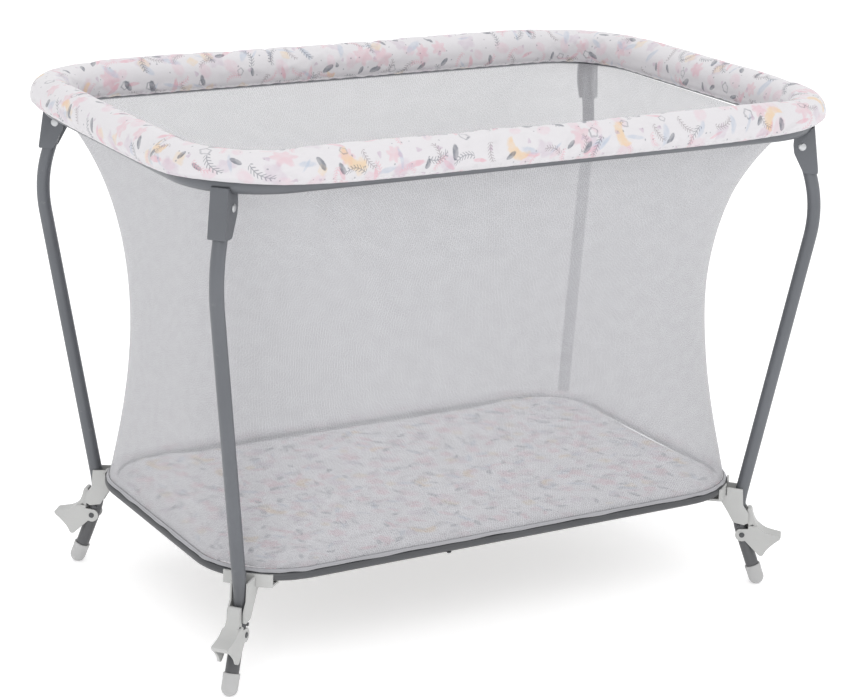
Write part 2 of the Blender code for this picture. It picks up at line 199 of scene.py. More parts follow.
# plain weave in metres: two crossing threads, with the fuzz of spun yarn
def makeWeaveGroup():
    tree, into, out = makeGroup("plainWeave", (("Coords", "Vector"), ("Pitch", "Float")),
                                (("Height", "Float"), ("Shade", "Float")))
    turn = divided(tree, 2 * math.pi, into["Pitch"])
    scaled = vectorNode(tree, "SCALE", into["Coords"], scale=turn)
    split = tree.nodes.new("ShaderNodeSeparateXYZ")
    wire(tree, scaled, split.inputs[0])
    warp = mathNode(tree, "SINE", split.outputs[0])
    weft = mathNode(tree, "SINE", split.outputs[1])
    crossing = times(tree, warp, weft)
    fuzz = noiseNode(tree, scaled, 0.35, 3.0)
    height = plus(tree, times(tree, crossing, 0.35), fuzz)
    wire(tree, height, out["Height"])
    wire(tree, stepNode(tree, height, 0.1, 0.95, 0.93, 1.0), out["Shade"])
    return tree


# local coordinates of the nearest motif: each cell of a jittered grid holds one, turned its own way
def makeCellGroup():
    tree, into, out = makeGroup(
        "motifCell", (("Coords", "Vector"), ("Cell", "Float"), ("Seed", "Float")),
        (("Local", "Vector"), ("Pick", "Float"), ("Size", "Float"), ("Tone", "Float")))
    shift = vectorNode(tree, "SCALE", (0.137, 0.071, 0.0), scale=into["Seed"])
    moved = vectorNode(tree, "ADD", into["Coords"], shift)
    cells = tree.nodes.new("ShaderNodeTexVoronoi")
    cells.voronoi_dimensions = "2D"
    cells.feature = "F1"
    wire(tree, moved, cells.inputs["Vector"])
    wire(tree, divided(tree, 1.0, into["Cell"]), cells.inputs["Scale"])
    cells.inputs["Randomness"].default_value = 0.6
    local = vectorNode(tree, "SUBTRACT", moved, cells.outputs["Position"])
    split = tree.nodes.new("ShaderNodeSeparateColor")
    wire(tree, cells.outputs["Color"], split.inputs[0])
    rotate = tree.nodes.new("ShaderNodeVectorRotate")
    rotate.rotation_type = "Z_AXIS"
    wire(tree, local, rotate.inputs["Vector"])
    wire(tree, times(tree, split.outputs[0], 2 * math.pi), rotate.inputs["Angle"])
    wire(tree, rotate.outputs[0], out["Local"])
    wire(tree, split.outputs[1], out["Pick"])
    wire(tree, split.outputs[2], out["Size"])
    wire(tree, mathNode(tree, "FRACT", times(tree, split.outputs[0], 7.31)), out["Tone"])
    return tree


# a soft-edged blob: an ellipse with lobes round its edge, brushed along one way
def makeBlobGroup():
    tree, into, out = makeGroup(
        "motifBlob", (("Local", "Vector"), ("Long", "Float"), ("Short", "Float"), ("Lobes", "Float"),
                      ("Depth", "Float"), ("Edge", "Float")), (("Mask", "Float"),))
    split = tree.nodes.new("ShaderNodeSeparateXYZ")
    wire(tree, into["Local"], split.inputs[0])
    side = divided(tree, split.outputs[0], into["Long"])
    up = divided(tree, split.outputs[1], into["Short"])
    squares = [times(tree, part, part) for part in (side, up)]
    reach = mathNode(tree, "SQRT", plus(tree, *squares))
    angle = mathNode(tree, "ARCTAN2", up, side)
    wave = mathNode(tree, "COSINE", times(tree, angle, into["Lobes"]))
    lobes = times(tree, wave, into["Depth"])
    grain = noiseNode(tree, into["Local"], 220.0, 3.0)
    ragged = times(tree, minus(tree, grain, 0.5), 0.5)
    edge = plus(tree, plus(tree, 1.0, lobes), ragged)
    inside = minus(tree, edge, reach)
    half = times(tree, into["Edge"], 0.5)
    wire(tree, stepNode(tree, inside, times(tree, half, -1.0), half), out["Mask"])
    return tree


# a sprig: a curved stem with leaves in pairs
def makeSprigGroup():
    tree, into, out = makeGroup("motifSprig", (("Local", "Vector"), ("Length", "Float")), (("Mask", "Float"),))
    split = tree.nodes.new("ShaderNodeSeparateXYZ")
    unit = divided(tree, 1.0, into["Length"])
    wire(tree, vectorNode(tree, "SCALE", into["Local"], scale=unit), split.inputs[0])
    along, side = split.outputs[0], split.outputs[1]
    bend = times(tree, times(tree, along, along), 0.35)
    off = mathNode(tree, "ABSOLUTE", minus(tree, side, bend))
    stem = stepNode(tree, off, 0.02, 0.055, 1.0, 0.0)
    # leaves lean forward: their place along the stem is taken back with the distance from it
    leaning = minus(tree, along, times(tree, off, 0.8))
    wave = mathNode(tree, "SINE", times(tree, leaning, 22.0))
    leaf = times(tree, stepNode(tree, wave, 0.35, 0.7),
                    stepNode(tree, off, 0.26, 0.34, 1.0, 0.0))
    shape = mathNode(tree, "MAXIMUM", stem, leaf)
    ends = stepNode(tree, mathNode(tree, "ABSOLUTE", along), 0.95, 1.02, 1.0, 0.0)
    wire(tree, times(tree, shape, ends), out["Mask"])
    return tree


surfaceWear = makeSurfaceGroup()
plainWeave = makeWeaveGroup()
motifCell = makeCellGroup()
motifBlob = makeBlobGroup()
motifSprig = makeSprigGroup()


# the print: pastel blobs, rosettes and strokes, ochre crescents, slate leaves, fine sprigs and dots
printLook = {
    "name": "pastelPrint",
    "white": (0.655, 0.64, 0.66, 1),
    "pink": (0.66, 0.36, 0.42, 1),
    "blush": (0.66, 0.47, 0.53, 1),
    "mauve": (0.50, 0.40, 0.49, 1),
    "ochre": (0.72, 0.49, 0.25, 1),
    "sand": (0.70, 0.55, 0.38, 1),
    "slate": (0.12, 0.135, 0.165, 1),
    "blue": (0.38, 0.45, 0.56, 1),
    "taupe": (0.24, 0.20, 0.22, 1),
    # cell, seed, half length, half width, lobes, lobe depth, share, colour, strength, edge, hollow
    "motifs": (
        (0.042, 1.0, 0.0120, 0.0085, 0.0, 0.00, 0.60, "blush", 0.55, 0.50, 0.0),
        (0.050, 5.0, 0.0125, 0.0115, 6.0, 0.22, 0.42, "pink", 0.55, 0.35, 0.0),
        (0.047, 7.0, 0.0035, 0.0130, 0.0, 0.00, 0.42, "pink", 0.80, 0.40, 0.0),
        (0.055, 9.0, 0.0130, 0.0100, 5.0, 0.15, 0.48, "mauve", 0.50, 0.45, 0.0),
        (0.045, 11.0, 0.0022, 0.0125, 0.0, 0.00, 0.40, "blue", 0.60, 0.60, 0.0),
        (0.080, 13.0, 0.0165, 0.0130, 0.0, 0.00, 0.26, "ochre", 0.80, 0.25, 0.8),
        (0.052, 15.0, 0.0095, 0.0080, 4.0, 0.12, 0.35, "sand", 0.70, 0.45, 0.0),
        (0.056, 17.0, 0.0120, 0.0050, 2.0, 0.10, 0.50, "blue", 0.65, 0.60, 0.0),
        (0.040, 21.0, 0.0080, 0.0040, 2.0, 0.08, 0.55, "slate", 1.00, 0.25, 0.0),
        (0.060, 23.0, 0.0068, 0.0062, 5.0, 0.10, 0.45, "slate", 0.70, 0.30, 0.45),
        (0.014, 25.0, 0.0013, 0.0010, 0.0, 0.00, 0.22, "slate", 0.80, 0.60, 0.0),
        (0.030, 29.0, 0.0036, 0.0024, 3.0, 0.20, 0.40, "mauve", 0.85, 0.40, 0.0)),
    # cell, seed, length, share, colour
    "sprigs": ((0.044, 33.0, 0.0135, 0.50, "taupe"), (0.052, 37.0, 0.0150, 0.40, "slate"),
               (0.048, 41.0, 0.0120, 0.50, "pink")),
    "sprigInk": 0.75,
    "smallest": 0.75, "largest": 1.12,  # a motif's size range
    "thinnest": 0.55,  # ink left in the thin places
    "strength": 0.82,
}
# the pad's print is seen through the net, so its ink is fuller and its ground is painted whiter than the
# cover's: painted light that lifts the pad inside the pen
padLook = {**printLook, "name": "padPrint", "strength": 2.0, "white": (0.74, 0.73, 0.75, 1)}


def makePrintGroup(look):
    tree, into, out = makeGroup(look["name"], (("Coords", "Vector"),),
                                (("Colour", "Color"), ("Ink", "Float")))
    colour, ink = look["white"], 0.0
    layers = []
    for cell, seed, long, short, lobes, depth, share, tint, strength, edge, hollow in look["motifs"]:
        found = useGroup(tree, motifCell, Coords=into["Coords"], Cell=cell, Seed=seed)
        size = stepNode(tree, found["Size"], 0.0, 1.0, look["smallest"], look["largest"])
        local = vectorNode(tree, "SCALE", found["Local"], scale=divided(tree, 1.0, size))
        shape = {"Lobes": lobes, "Depth": depth, "Edge": edge}
        mask = useGroup(tree, motifBlob, Local=local, Long=long, Short=short, **shape)[0]
        if hollow:
            # a crescent where the hollow is off centre, a ring where it is not
            shift = (0.0, short * (hollow - 0.1) if hollow > 0.5 else 0.0, 0.0)
            bite = useGroup(tree, motifBlob, Local=vectorNode(tree, "SUBTRACT", local, shift),
                            Long=long * max(hollow, 0.7), Short=short * max(hollow, 0.7), **shape)[0]
            mask = times(tree, mask, minus(tree, 1.0, bite))
        # the ink is thin in places, like a brush mark
        thin = stepNode(tree, noiseNode(tree, local, 90.0, 3.0), 0.3, 0.65, look["thinnest"], 1.0)
        mask = times(tree, times(tree, mask, thin),
                        mathNode(tree, "LESS_THAN", found["Pick"], share))
        layers.append((mask, tint, strength))
    for cell, seed, length, share, tint in look["sprigs"]:
        found = useGroup(tree, motifCell, Coords=into["Coords"], Cell=cell, Seed=seed)
        mask = useGroup(tree, motifSprig, Local=found["Local"], Length=length)[0]
        picked = mathNode(tree, "LESS_THAN", found["Pick"], share)
        layers.append((times(tree, mask, picked), tint, look["sprigInk"]))
    for mask, tint, strength in layers:
        cover = times(tree, mask, strength * look["strength"])
        colour = mixNode(tree, cover, colour, look[tint])
        ink = mathNode(tree, "MAXIMUM", ink, cover)
    wire(tree, colour, out["Colour"])
    wire(tree, ink, out["Ink"])
    return tree


pastelPrint = makePrintGroup(printLook)
padPrint = makePrintGroup(padLook)


def metalMaterial(name, colour, worn, metallic, rough, amount=0.25, grain=900.0, bump=0.0001):
    made, tree, shader = makeMaterial(name)
    wear = useGroup(tree, surfaceWear, Coords=objectCoords(tree), Colour=(*colour, 1), Worn=(*worn, 1),
                    Amount=amount, Grain=grain, Rough=rough)
    wire(tree, wear["Colour"], shader["Base Color"])
    wire(tree, wear["Roughness"], shader["Roughness"])
    wire(tree, bumpNode(tree, wear["Height"], 0.3, bump), shader["Normal"])
    shader["Metallic"].default_value = metallic
    return made


def plasticMaterial(name, colour, worn, rough, through=0.04):
    made = metalMaterial(name, colour, worn, 0.0, rough, 0.2, 1400.0, 0.00006)
    shader = made.node_tree.nodes["Principled BSDF"].inputs
    shader["Subsurface Weight"].default_value = through
    shader["Subsurface Radius"].default_value = (0.002, 0.002, 0.002)
    return made


def printMaterial(name, group, weavePitch=0.0011):
    made, tree, shader = makeMaterial(name)
    uv = tree.nodes.new("ShaderNodeUVMap").outputs[0]
    ink = useGroup(tree, group, Coords=uv)
    weave = useGroup(tree, plainWeave, Coords=uv, Pitch=weavePitch)
    folds = noiseNode(tree, objectCoords(tree), 30.0, 4.0, 0.55)
    wire(tree, vectorNode(tree, "SCALE", ink["Colour"], scale=weave["Shade"]), shader["Base Color"])
    wire(tree, plus(tree, 0.78, times(tree, ink["Ink"], 0.08)), shader["Roughness"])
    shader["Sheen Weight"].default_value = 0.25
    shader["Sheen Roughness"].default_value = 0.45
    soft = bumpNode(tree, folds, 0.35, 0.004)
    wire(tree, bumpNode(tree, weave["Height"], 0.35, 0.00025, soft), shader["Normal"])
    return made


# the net: rows of holes in a knitted sheet, cut out with alpha
netLook = {
    "thread": (0.442, 0.442, 0.462), "pitch": 0.0017, "random": 0.45, "rough": 0.75,
    "open": 0.36, "blur": 0.06,  # a hole's radius and soft edge, as shares of the pitch
    "veil": 0.48, "knit": 0.86,  # how much is hidden by a hole and by the threads
}


def netMaterial(name, look):
    made, tree, shader = makeMaterial(name)
    uv = tree.nodes.new("ShaderNodeUVMap").outputs[0]
    wander = noiseNode(tree, uv, 60.0, 3.0)
    cells = tree.nodes.new("ShaderNodeTexVoronoi")
    cells.voronoi_dimensions = "2D"
    cells.feature = "F1"
    wire(tree, uv, cells.inputs["Vector"])
    cells.inputs["Scale"].default_value = 1 / look["pitch"]
    cells.inputs["Randomness"].default_value = look["random"]
    hole = stepNode(tree, cells.outputs["Distance"], look["open"] - look["blur"],
                    look["open"] + look["blur"], look["veil"], look["knit"])
    wire(tree, hole, shader["Alpha"])
    tone = stepNode(tree, wander, 0.3, 0.7, 0.95, 1.03)
    wire(tree, vectorNode(tree, "SCALE", look["thread"], scale=tone), shader["Base Color"])
    shader["Roughness"].default_value = look["rough"]
    shader["Sheen Weight"].default_value = 0.2
    wire(tree, bumpNode(tree, cells.outputs["Distance"], 0.15, 0.0003), shader["Normal"])
    return made


def paintShadeLow(made, colour, low, high):
    # painted shade: the colour darkens towards the ground
    tree = made.node_tree
    shader = tree.nodes["Principled BSDF"].inputs
    split = tree.nodes.new("ShaderNodeSeparateXYZ")
    wire(tree, objectCoords(tree), split.inputs[0])
    above = stepNode(tree, split.outputs[2], low, high)
    old = shader["Base Color"].links[0].from_socket
    wire(tree, mixNode(tree, above, (*colour, 1), old), shader["Base Color"])


def clothMaterial(name, colour, pitch=0.0009):
    # plain tape or piping, woven, with stitches left to the geometry
    made, tree, shader = makeMaterial(name)
    coords = objectCoords(tree)
    fuzz = noiseNode(tree, coords, 1400.0, 4.0, 0.6)
    drift = noiseNode(tree, coords, 25.0, 3.0)
    shade = times(tree, stepNode(tree, fuzz, 0.25, 0.75, 0.9, 1.04),
                     stepNode(tree, drift, 0.3, 0.7, 0.96, 1.02))
    wire(tree, vectorNode(tree, "SCALE", colour, scale=shade), shader["Base Color"])
    shader["Roughness"].default_value = 0.85
    shader["Sheen Weight"].default_value = 0.3
    wire(tree, bumpNode(tree, fuzz, 0.4, pitch / 3), shader["Normal"])
    return made


def boardMaterial(name):
    made, tree, shader = makeMaterial(name)
    coords = objectCoords(tree)
    fibres = noiseNode(tree, coords, 420.0, 6.0, 0.7)
    clouds = noiseNode(tree, coords, 14.0, 4.0)
    tone = times(tree, stepNode(tree, fibres, 0.25, 0.75, 0.8, 1.15),
                    stepNode(tree, clouds, 0.3, 0.7, 0.92, 1.06))
    wire(tree, vectorNode(tree, "SCALE", (0.42, 0.41, 0.40), scale=tone), shader["Base Color"])
    wire(tree, stepNode(tree, fibres, 0.2, 0.8, 0.55, 0.8), shader["Roughness"])
    wire(tree, bumpNode(tree, fibres, 0.4, 0.0003), shader["Normal"])
    return made


steelGrey = metalMaterial("steelGrey", (0.128, 0.135, 0.148), (0.34, 0.34, 0.34), 0.35, 0.42)
legSteel = metalMaterial("legSteel", (0.128, 0.135, 0.148), (0.34, 0.34, 0.34), 0.35, 0.42)
steelDark = metalMaterial("steelDark", (0.075, 0.077, 0.082), (0.2, 0.2, 0.2), 0.3, 0.45)
zincPlate = metalMaterial("zincPlate", (0.52, 0.53, 0.54), (0.30, 0.29, 0.27), 0.95, 0.34, 0.35, 500.0)
# painted shade: the legs' copy of the steel is darkened low down
paintShadeLow(legSteel, (0.098, 0.099, 0.104), 0.06, 0.20)
greyPlastic = plasticMaterial("greyPlastic", (0.46, 0.462, 0.455), (0.70, 0.70, 0.68), 0.48)
footPlastic = plasticMaterial("footPlastic", (0.43, 0.43, 0.43), (0.36, 0.35, 0.33), 0.55)
printedCloth = printMaterial("printedCloth", pastelPrint)
padCloth = printMaterial("padCloth", padPrint)
netCloth = netMaterial("netCloth", netLook)
whiteTape = clothMaterial("whiteTape", (0.80, 0.79, 0.80))
netTape = clothMaterial("netTape", (0.36, 0.36, 0.38))
hardboard = boardMaterial("hardboard")
print("materials made")


def finish(name, shape, material, body, smooth=40.0):
    # turns a bmesh into a piece that rides on a body
    bmesh.ops.recalc_face_normals(shape, faces=shape.faces)
    mesh = bpy.data.meshes.new(name)
    shape.to_mesh(mesh)
    shape.free()
    mesh.materials.append(material)
    mesh.shade_smooth()
    if smooth < 180:
        mesh.set_sharp_from_angle(angle=math.radians(smooth))
    piece = bpy.data.objects.new(name, mesh)
    scene.collection.objects.link(piece)
    if body:
        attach(piece, body)
    return piece


def routePoints(points, radii, closed=False, arcStep=math.radians(3)):
    # a path with rounded corners, as close-set points
    points = [Vector(point) for point in points]
    path = [] if closed else [points[0]]
    count = len(points)
    corners = range(count) if closed else range(1, count - 1)
    for index, radius in zip(corners, radii):
        corner = points[index]
        into = (corner - points[index - 1]).normalized()
        out = (points[(index + 1) % count] - corner).normalized()
        bend = into.angle(out)
        centre = corner + (out - into).normalized() * radius / math.cos(bend / 2)
        start = corner - into * radius * math.tan(bend / 2)
        axis = into.cross(out)
        steps = max(2, round(bend / arcStep))
        for step in range(steps + 1):
            path.append(centre + Matrix.Rotation(bend * step / steps, 3, axis) @ (start - centre))
    if closed:
        path.append(path[0])
    else:
        path.append(points[-1])
    return np.array([tuple(point) for point in path])


def routeAt(path, shares):
    # places and directions at shares of the path's length
    steps = np.linalg.norm(np.diff(path, axis=0), axis=1)
    along = np.concatenate([[0], np.cumsum(steps)])
    wanted = np.asarray(shares) * along[-1]
    places = np.stack([np.interp(wanted, along, path[:, k]) for k in range(3)], axis=1)
    nudge = along[-1] * 0.002
    further, nearer = np.minimum(wanted + nudge, along[-1]), np.maximum(wanted - nudge, 0)
    ways = np.stack([np.interp(further, along, path[:, k]) - np.interp(nearer, along, path[:, k])
                     for k in range(3)], axis=1)
    return places, ways / np.linalg.norm(ways, axis=1)[:, None], along[-1]


def bentGrid(alongCount, acrossCount, place, size=(1, 1), closed=(False, False)):
    # a grid whose every point goes to place(u, v), with a UV in metres
    shape = bmesh.new()
    layer = shape.loops.layers.uv.new("UVMap")
    bmesh.ops.create_grid(shape, x_segments=alongCount, y_segments=acrossCount, size=0.5)
    for face in shape.faces:
        for loop in face.loops:
            loop[layer].uv = ((loop.vert.co.x + 0.5) * size[0], (loop.vert.co.y + 0.5) * size[1])
    shares = np.array([(vert.co.x + 0.5, vert.co.y + 0.5) for vert in shape.verts])
    places = place(shares[:, 0], shares[:, 1])
    for vert, point in zip(shape.verts, places):
        vert.co = point
    if any(closed):
        bmesh.ops.remove_doubles(shape, verts=[vert for vert in shape.verts if vert.is_boundary], dist=0.00002)
    return shape


def tube(path, radius, alongCount, sides, closed=False, lift=(0, 0, 1)):
    # a round tube along a path that lies in one plane; lift is that plane's normal, or close to it
    total = routeAt(path, [0])[2]

    def place(u, v):
        places, ways, _ = routeAt(path, u)
        normal = np.cross(ways, np.array(lift, float))
        normal /= np.linalg.norm(normal, axis=1)[:, None]
        third = np.cross(normal, ways)
        turn = v * 2 * math.pi
        return places + radius * (np.cos(turn)[:, None] * normal + np.sin(turn)[:, None] * third)

    return bentGrid(alongCount, sides, place, (total, 2 * math.pi * radius), (closed, True))


def closeEnds(shape, inset=0.0, depth=0.0):
    # caps a tube's ends; with an inset the end is an open wall that goes in to a depth
    edges = [edge for edge in shape.edges if edge.is_boundary]
    faces = bmesh.ops.holes_fill(shape, edges=edges, sides=0)["faces"]
    if inset:
        for face in faces:
            bmesh.ops.inset_individual(shape, faces=[face], thickness=inset)
            bmesh.ops.translate(shape, verts=face.verts, vec=-face.normal * depth)
    return shape


def prism(profile, halfWidth, place):
    # an (outward, height) outline pushed across its corner frame
    shape = bmesh.new()
    base = shape.faces.new([shape.verts.new((out, -halfWidth, up)) for out, up in profile])
    pushed = bmesh.ops.extrude_face_region(shape, geom=[base])["geom"]
    farSide = [part for part in pushed if isinstance(part, bmesh.types.BMVert)]
    bmesh.ops.translate(shape, verts=farSide, vec=(0, 2 * halfWidth, 0))
    shape.transform(place)
    bmesh.ops.recalc_face_normals(shape, faces=shape.faces)
    if shape.calc_volume(signed=True) < 0:
        bmesh.ops.reverse_faces(shape, faces=shape.faces)
    return shape


def turned(profile, place, sides=40):
    # a (radius, height) outline turned about its own Z axis
    shape = bmesh.new()
    verts = [shape.verts.new((radius, 0, up)) for radius, up in profile]
    edges = [shape.edges.new(pair) for pair in zip(verts, verts[1:])]
    bmesh.ops.spin(shape, geom=verts + edges, axis=(0, 0, 1), cent=(0, 0, 0),
                   angle=2 * math.pi, steps=sides, use_merge=True)
    bmesh.ops.remove_doubles(shape, verts=shape.verts, dist=0.00001)
    shape.transform(place)
    bmesh.ops.recalc_face_normals(shape, faces=shape.faces)
    if shape.calc_volume(signed=True) < 0:
        bmesh.ops.reverse_faces(shape, faces=shape.faces)
    return shape


def smoothLine(points, radius=0.002, steps=4):
    # an outline whose corners are rounded; a corner too tight for the radius keeps what fits
    rounded = []
    count = len(points)
    for index in range(count):
        before, corner, after = (Vector(points[k % count]) for k in (index - 1, index, index + 1))
        reach = min(radius, (corner - before).length * 0.45, (after - corner).length * 0.45)
        start = corner + (before - corner).normalized() * reach
        end = corner + (after - corner).normalized() * reach
        for step in range(steps + 1):
            t = step / steps
            rounded.append(tuple(start * (1 - t) ** 2 + corner * 2 * t * (1 - t) + end * t * t))
    return rounded


def carve(piece, cutters):
    # cuts each bmesh out of the piece, one after the other
    for shape in cutters:
        cutter = finish("cutter", shape, steelGrey, None)
        boolean = piece.modifiers.new("cut", "BOOLEAN")
        boolean.solver = "EXACT"
        boolean.object = cutter
        applyModifiers(piece)
        bpy.data.objects.remove(cutter)


def applyModifiers(piece):
    graph = bpy.context.evaluated_depsgraph_get()
    graph.update()
    old = piece.data
    made = bpy.data.meshes.new_from_object(piece.evaluated_get(graph))
    piece.modifiers.clear()
    piece.data = made
    made.name = old.name


def soften(piece, width, segments=2, angle=35.0):
    bevel = piece.modifiers.new("edges", "BEVEL")
    bevel.width = width
    bevel.segments = segments
    bevel.limit_method = "ANGLE"
    bevel.angle_limit = math.radians(angle)
    bevel.harden_normals = False
    bevel.miter_outer = "MITER_ARC"


# how the padded pieces behave when they are blown up
padding = {"frames": 20, "quality": 5, "mass": 0.3, "stretch": 15, "shear": 5, "bending": 0.1}


def puff(piece, pinned, pressure, shrink, cap):
    # blows a soft piece up as cloth round its pinned points, and keeps the shape
    held = piece.vertex_groups.new(name="held")
    held.add([int(index) for index in np.flatnonzero(pinned)], 1.0, "REPLACE")
    cloth = piece.modifiers.new("swell", "CLOTH")
    fabric = cloth.settings
    fabric.quality = padding["quality"]
    fabric.mass = padding["mass"]
    fabric.use_pressure = True
    fabric.uniform_pressure_force = pressure
    fabric.shrink_min = shrink
    fabric.tension_stiffness = fabric.compression_stiffness = padding["stretch"]
    fabric.shear_stiffness = padding["shear"]
    fabric.bending_stiffness = padding["bending"]
    fabric.vertex_group_mass = "held"
    fabric.effector_weights.gravity = 0
    cloth.collision_settings.use_collision = False
    cloth.point_cache.frame_start = 1
    cloth.point_cache.frame_end = padding["frames"]
    for frameNumber in range(1, padding["frames"] + 1):
        scene.frame_set(frameNumber)
    before = np.array([vert.co[:] for vert in piece.data.vertices])
    swollen = piece.evaluated_get(bpy.context.evaluated_depsgraph_get()).data
    move = np.array([vert.co[:] for vert in swollen.vertices]) - before
    reach = np.linalg.norm(move, axis=1)
    move *= np.minimum(1, cap / np.maximum(reach, 1e-9))[:, None]
    print(piece.name, "swelled by up to", round(float(reach.max()) * 1000, 1), "mm, kept", cap * 1000)
    piece.modifiers.remove(cloth)
    piece.vertex_groups.remove(held)
    for vert, place in zip(piece.data.vertices, before + move):
        vert.co = place
    piece.data.update()
    scene.frame_set(1)


def stitchRow(name, path, gap, length, radius, material, body):
    # short straight stitches along a closed path
    shape = bmesh.new()
    total = routeAt(path, [0])[2]
    count = round(total / gap)
    places, ways, _ = routeAt(path, (np.arange(count) + 0.5) / count)
    for place, way in zip(places, ways):
        turn = Vector(way).to_track_quat("Z", "Y").to_matrix().to_4x4()
        bmesh.ops.create_cone(shape, cap_ends=True, segments=5, radius1=radius, radius2=radius * 0.8,
                              depth=length, matrix=Matrix.Translation(place) @ turn)
    return finish(name, shape, material, body)


def edgedCopy(node, width, material, segments=2):
    # a CAD node with its edges rounded
    source = frame["nodes"][node]
    shape = bmesh.new()
    shape.from_mesh(source.data)
    bmesh.ops.remove_doubles(shape, verts=shape.verts, dist=0.000002)
    bmesh.ops.dissolve_limit(shape, angle_limit=math.radians(1), verts=shape.verts, edges=shape.edges)
    piece = finish(node + "_edged", shape, material, source["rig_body"], 35)
    soften(piece, width, segments)
    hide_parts(node)


joints = {joint["name"]: joint for joint in frame["joints"]}
corners = ("front_left", "front_right", "back_left", "back_right")


def cornerFrame(corner):
    # origin on the ground under the leg's rivet, +X outward
    joint = joints["leg_fold_" + corner]
    x, y, _ = joint["pos_m"]
    outward = math.atan2(-joint["axis"][0], joint["axis"][1])
    return Matrix.Translation((x, y, 0)) @ Matrix.Rotation(outward, 4, "Z")


def across(place, point):
    # the frame of an axle that lies across a corner frame at an (outward, height) point
    return place @ Matrix.Translation((point[0], 0, point[1])) @ Matrix.Rotation(math.pi / 2, 4, "X")


def ringPath(halfX, halfY, corner, height):
    # a closed rounded rectangle from the middle of the back edge, anticlockwise seen from above
    signs = ((-1, 1), (-1, -1), (1, -1), (1, 1))
    points = [(sx * halfX, sy * halfY, height) for sx, sy in signs]
    path = routePoints(points, (corner,) * 4, closed=True)[:-1]
    start = np.array([[0, halfY, height]])
    return np.concatenate([start, path, start])


railLow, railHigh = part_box("rail_tube_left")
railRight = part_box("rail_tube_right")[1]
rail = {
    "radius": (railHigh.z - railLow.z) / 2,
    "z": (railHigh.z + railLow.z) / 2,
    "corner": 0.11,
    "stations": 420, "sides": 28, "clearance": 0.0003,
}
rail["halfX"] = railRight.x - rail["radius"]
rail["halfY"] = railRight.y - rail["radius"]
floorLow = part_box("floor_tube_left")[0]
matLow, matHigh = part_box("floor_mat")
floorTube = {"radius": 0.006, "z": 0.150, "corner": 0.115, "stations": 360, "sides": 24}
floorTube["halfX"] = -floorLow.x - floorTube["radius"]
floorTube["halfY"] = -floorLow.y - floorTube["radius"]
print("sizes read", {key: round(value, 4) for key, value in rail.items()})


cameraPlace = {
    "at": (-1.7156, -2.9213, 1.4014), "heading": 30.43, "down": 17.27, "roll": 1.665,
    "lens": 103.56, "sensor": 36,
}


def makeCamera(place):
    data = bpy.data.cameras.new("camera")
    data.sensor_width = place["sensor"]
    data.lens = place["lens"]
    camera = bpy.data.objects.new("camera", data)
    scene.collection.objects.link(camera)
    turn = (Matrix.Rotation(math.radians(-place["heading"]), 4, "Z")
            @ Matrix.Rotation(math.radians(90 - place["down"]), 4, "X")
            @ Matrix.Rotation(math.radians(place["roll"]), 4, "Z"))
    camera.matrix_world = Matrix.Translation(place["at"]) @ turn
    scene.camera = camera


studio = {
    "sky": 0.95, "aim": (0, 0, 0.4),
    "lamps": (  # name, place, size, energy
        ("key", (-1.8, -2.6, 3.2), 2.2, 34),
        ("fill", (2.8, -1.8, 2.0), 2.5, 10),
        ("top", (0.2, 0.6, 3.2), 2.5, 14)),
    "floor": (0.93, 0.93, 0.935), "floorHalf": 30, "floorGlow": 0.3,
}


def makeStudio(look):
    world = bpy.data.worlds.new("studio")
    world.use_nodes = True
    background = world.node_tree.nodes["Background"]
    background.inputs["Color"].default_value = (1, 1, 1, 1)
    background.inputs["Strength"].default_value = look["sky"]
    scene.world = world
    scene.view_settings.view_transform = "Standard"
    for name, place, size, energy in look["lamps"]:
        data = bpy.data.lights.new(name, "AREA")
        data.size = size
        data.energy = energy
        lamp = bpy.data.objects.new(name, data)
        scene.collection.objects.link(lamp)
        lamp.location = place
        towards = Vector(look["aim"]) - Vector(place)
        lamp.rotation_euler = towards.to_track_quat("-Z", "Y").to_euler()
    shape = bmesh.new()
    bmesh.ops.create_grid(shape, x_segments=1, y_segments=1, size=look["floorHalf"])
    made, tree, shader = makeMaterial("studioFloor")
    clouds = noiseNode(tree, objectCoords(tree), 0.8, 3.0)
    tone = stepNode(tree, clouds, 0.2, 0.8, 0.995, 1.0)
    wire(tree, vectorNode(tree, "SCALE", look["floor"], scale=tone), shader["Base Color"])
    shader["Roughness"].default_value = 0.9
    shader["Specular IOR Level"].default_value = 0.1
    shader["Emission Color"].default_value = (1, 1, 1, 1)
    shader["Emission Strength"].default_value = look["floorGlow"]
    finish("studio_floor", shape, made, None)


makeCamera(cameraPlace)
makeStudio(studio)
print("camera and studio ready")


railPath = ringPath(rail["halfX"], rail["halfY"], rail["corner"], rail["z"])


def railRing(extra=0.0):
    return tube(railPath, rail["radius"] + extra, rail["stations"], rail["sides"], closed=True)


def makeRailTube():
    piece = finish("rail_tube", railRing(), steelGrey, "frame", 180)
    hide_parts("rail_tube_left", "rail_tube_right")


# the padded roll: its section is a circle that sits on the tube and tucks in against its sides
cover = {
    "radius": 0.0268, "rise": 0.0172, "stations": 560, "sides": 40,
    "outerLip": math.radians(42), "innerLip": math.radians(26), "cornerLift": math.radians(26),
    "liftWide": 0.115, "tuck": 0.08, "tuckGap": 0.0004, "held": 4,
    "gatherWide": 0.07, "secondWave": 0.62, "slant": 11.7, "cloth": 0.0015, "tracePoints": 1500,
    "stitchRows": (("cover_stitches_outer", 0.115), ("cover_stitches_inner", 0.955)), "stitchOut": 0.0002,
    "pucker": 0.0004, "puckers": 150, "pressure": 3.0, "shrink": -0.022, "cap": 0.003,
    "stitchGap": 0.0075, "stitchLength": 0.0048, "stitchRadius": 0.00035,
}


